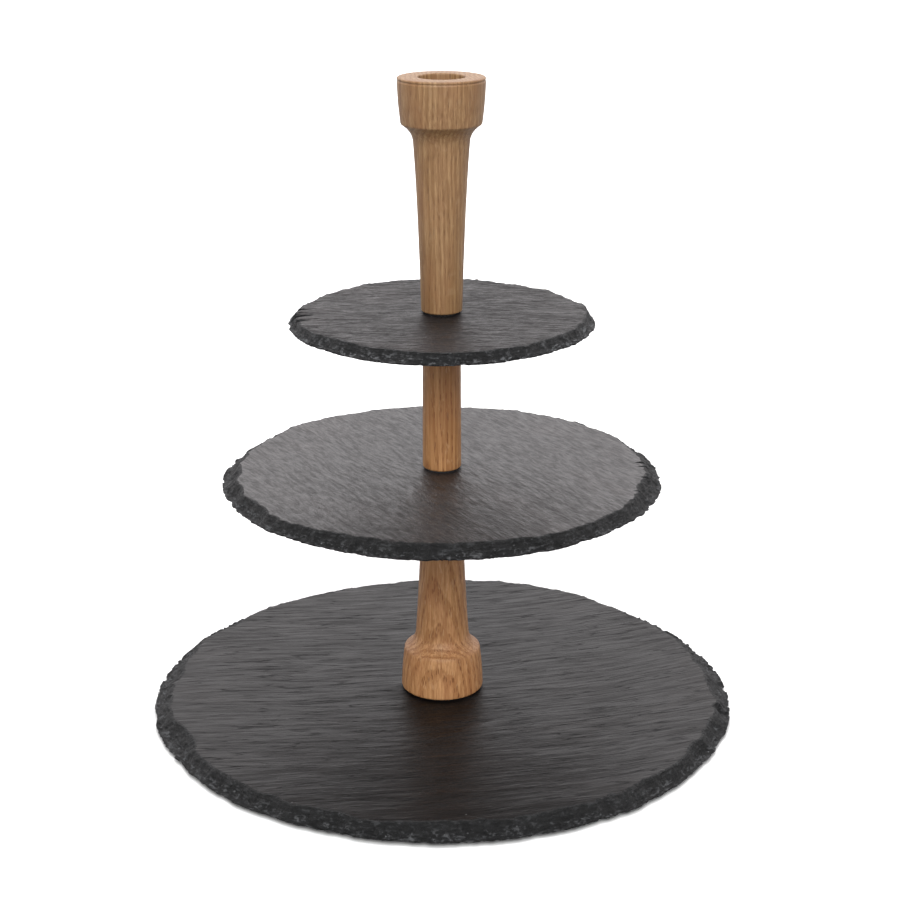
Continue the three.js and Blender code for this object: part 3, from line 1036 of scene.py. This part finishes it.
def base_screw():
    """Countersunk screw with a hexagonal key socket, its thread pointing up into the lower post."""
    low, high = extents("base_screw")
    socket = [hexagon_ring(low + 2.5), hexagon_ring(low + 0.25), hexagon_ring(low, 0.25)]
    head = [(3.6, low), (5.7, low), (6, low + 0.15), (6, low + 0.3), (3.05, low + 3.25)]
    shank = thread_rings(low + 3.8, high, THREAD_CREST, THREAD_ROOT, end_chamfer=END_RADIUS)
    rings = turned([(0, low + 2.9)], THREAD_SIDES) + socket
    rings += turned(head, THREAD_SIDES) + shank + turned([(0, high)], THREAD_SIDES)
    shell("base_screw", "_threaded", rings, "base", ["steel"])


def ring_piece(node, suffix, body, material, profile, ease):
    """A washer or cup: a closed profile turned about the axis, with its corners eased."""
    loop = eased(profile + profile[:2], ease)[1:-1]
    shell(node, suffix, turned(loop, WASHER_SIDES), body, [material], closed=True)


def flat_washer(node, body):
    """A thin rubber washer between a post and a plate."""
    low, high = extents(node)
    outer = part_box(node)[1].x / MM
    profile = [(WASHER_BORE_RADIUS, low), (outer, low), (outer, high), (WASHER_BORE_RADIUS, high)]
    ring_piece(node, "_pad", body, "rubber", profile, ease=0.2)


def cup_washer():
    """The pressed steel cone under the base screw's head, which lines the countersink."""
    low, high = extents("base_cup_washer")
    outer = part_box("base_cup_washer")[1].x / MM
    inner = outer - CUP_WALL
    tall = high - low
    profile = [(inner, low), (outer, low), (outer - tall, high), (inner - tall, high)]
    ring_piece("base_cup_washer", "_pressed", "base", "steel", profile, ease=0.15)


def foot(node):
    """A rubber foot with a shallow hollow in its sole."""
    low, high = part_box(node)
    centre = ((low.x + high.x) / 2 / MM, (low.y + high.y) / 2 / MM)
    radius = (high.x - low.x) / 2 / MM
    base, top = extents(node)
    profile = [
        (0, base + 0.12), (radius * 0.55, base + 0.1), (radius * 0.62, base), (radius - 0.5, base),
        (radius, base + 0.5), (radius, top), (0, top),
    ]
    rings = turned(eased(profile, 0.3), FOOT_SIDES, centre)
    shell(node, "_pad", rings, "base", ["rubber"])


# Stage

# Brightness of each part of the studio, where 1 is a pure white
SWEEP_LIGHT = 1.35
DIM_LIGHT = 0.18
CEILING_LIGHT = 0.9
REAR_LIGHT = 3.4
SOFTBOX_LIGHT = 6.1
SEEN_LIGHT = 1.2  # what the camera sees round the stand
SWEEP_TINT = (1, 0.972, 0.988)
SOFTBOX_DIRECTION = (0, -0.74, 0.673)

FLOOR_HALF = 6.0  # metres
CONTACT_SHADOW = 0.035  # how far the painted contact shadow reaches round the stand, in metres
# colour of the painted contact shadow on the floor
CONTACT_SHADOW_COLOUR = (0.45, 0.45, 0.45)
BOUNCE_COLOUR = (0.3, 0.3, 0.3)  # the floor, as the stand sees it

SENSOR_WIDTH = 36
FOCAL_LENGTH = 73.77
EYE = (0, -0.8759, 0.4387)
EYE_DOWN = 18.98  # degrees below level
EYE_TURN = -0.265  # degrees, anticlockwise from above


def floor():
    """A pale floor, which throws less light back up at the stand than the camera sees in it.

    It is clear from underneath, so that the stand's feet can be seen, and its colour is painted darker round
    the stand as a painted contact shadow.
    """
    mesh = bpy.data.meshes.new("floor")
    half = FLOOR_HALF
    corners = [(-half, -half, 0), (half, -half, 0), (half, half, 0), (-half, half, 0)]
    mesh.from_pydata(corners, [], [(0, 1, 2, 3)])
    material, tree = new_material("floor")
    mottle = cloud(tree, object_mm(tree), (0.01, 0.01, 0.01), detail=2)
    colour = ramp(tree, mottle, [(0.3, (0.93, 0.93, 0.93)), (0.7, (0.95, 0.95, 0.95))])
    # painted contact shadow: the floor's colour darkens where ambient occlusion finds the stand close by
    openness = wire(tree, "ShaderNodeAmbientOcclusion", {"Distance": CONTACT_SHADOW}, samples=8)
    colour = blended(tree, rise(tree, openness.outputs["AO"], 0.3, 1.0), CONTACT_SHADOW_COLOUR, colour)
    seen = wire(tree, "ShaderNodeLightPath").outputs["Is Camera Ray"]
    colour = blended(tree, seen, BOUNCE_COLOUR, colour)
    painted = surface(tree, colour, 0.7, mottle, 0.01)
    below = wire(tree, "ShaderNodeNewGeometry").outputs["Backfacing"]
    clear = wire(tree, "ShaderNodeBsdfTransparent").outputs[0]
    end_in(tree, wire(tree, "ShaderNodeMixShader", {0: below, 1: painted, 2: clear}).outputs[0])
    mesh.materials.append(material)
    plane = bpy.data.objects.new("floor", mesh)
    bpy.context.scene.collection.objects.link(plane)


def surroundings():
    """A studio: a sweep low behind the stand, a bright light high behind it, a softbox over the camera,
    and a white ceiling. The camera itself sees plain white.

    The high light behind is the one that each plate hides from the middle of the plate below it.
    """
    world = bpy.data.worlds.new("studio")
    world.use_nodes = True
    tree = world.node_tree
    direction = wire(tree, "ShaderNodeTexCoord").outputs["Generated"]
    parts = wire(tree, "ShaderNodeSeparateXYZ", {0: direction}).outputs
    back, up = parts[1], parts[2]
    behind = rise(tree, back, -0.25, 0.45)
    sweep = product(tree, rise(tree, up, 0.45, 0.60, 1, 0), behind)
    band = product(tree, rise(tree, up, 0.40, 0.56), rise(tree, up, 0.75, 0.92, 1, 0))
    rear = product(tree, band, rise(tree, back, 0.1, 0.4))
    ceiling = rise(tree, up, 0.68, 0.92)
    facing = wire(tree, "ShaderNodeVectorMath", {0: direction, 1: SOFTBOX_DIRECTION}, operation="DOT_PRODUCT")
    softbox = rise(tree, facing.outputs["Value"], 0.82, 0.93)
    lights = [(sweep, SWEEP_LIGHT), (rear, REAR_LIGHT), (ceiling, CEILING_LIGHT), (softbox, SOFTBOX_LIGHT)]
    strength = scaled_sum(tree, [(share, light - DIM_LIGHT) for share, light in lights])
    strength = maths(tree, "ADD", strength, DIM_LIGHT)
    seen = wire(tree, "ShaderNodeLightPath").outputs["Is Camera Ray"]
    strength = maths(tree, "MAXIMUM", strength, product(tree, seen, SEEN_LIGHT))
    background = tree.nodes["Background"]
    tree.links.new(blended(tree, behind, (1, 1, 1), SWEEP_TINT), background.inputs["Color"])
    tree.links.new(strength, background.inputs["Strength"])
    bpy.context.scene.world = world


def camera():
    """A little higher than the stand and looking down at it."""
    lens = bpy.data.cameras.new("camera")
    lens.sensor_width = SENSOR_WIDTH
    lens.lens = FOCAL_LENGTH
    eye = bpy.data.objects.new("camera", lens)
    eye.location = EYE
    eye.rotation_euler = (math.radians(90 - EYE_DOWN), 0, math.radians(EYE_TURN))
    bpy.context.scene.collection.objects.link(eye)
    bpy.context.scene.camera = eye


# The whole stand

MATERIALS = {
    "oak_lower": oak("oak_lower", (9, 62), (0.01, 0.05), 2.6, (1.0, 0.97, 0.93), 1.0),
    "oak_middle": oak("oak_middle", (60, 40), (0.01, 0.0), 2.3, (1.0, 0.955, 0.88), 0.9),
    "oak_handle": oak("oak_handle", (85, 12), (0.01, 0.01), 2.2, (0.60, 0.665, 0.70), 0.4),
    "steel": metal("steel", (0.62, 0.62, 0.6), 0.28),
    "brass": metal("brass", (0.68, 0.5, 0.22), 0.3),
    "rubber": rubber(),
}
for slate, slate_look in SLATE_LOOKS.items():
    MATERIALS[slate + "_face"] = slate_face(slate + "_face", slate_look)
    MATERIALS[slate + "_edge"] = slate_edge(slate + "_edge", slate_look)

# What each piece of hardware rides on
STUDS = {"lower_stud": "lower_post", "upper_stud": "middle_post"}
INSERTS = {"lower_insert": "lower_post", "middle_insert": "middle_post", "handle_insert": "handle"}
WASHERS = {
    "lower_post_washer": "lower_post_carrier",
    "middle_under_washer": "lower_post",
    "middle_over_washer": "middle_post_carrier",
    "top_under_washer": "middle_post",
    "top_over_washer": "handle_carrier",
}

for slate in PLATES:
    slate_plate(slate)
posts()
for part, ridden in STUDS.items():
    stud(part, ridden)
for part, ridden in INSERTS.items():
    insert(part, ridden)
base_screw()
cup_washer()
for part, ridden in WASHERS.items():
    flat_washer(part, ridden)
for number in range(1, 5):
    foot(f"foot_{number}")
floor()
surroundings()
camera()
bpy.context.scene.view_settings.view_transform = "Standard"
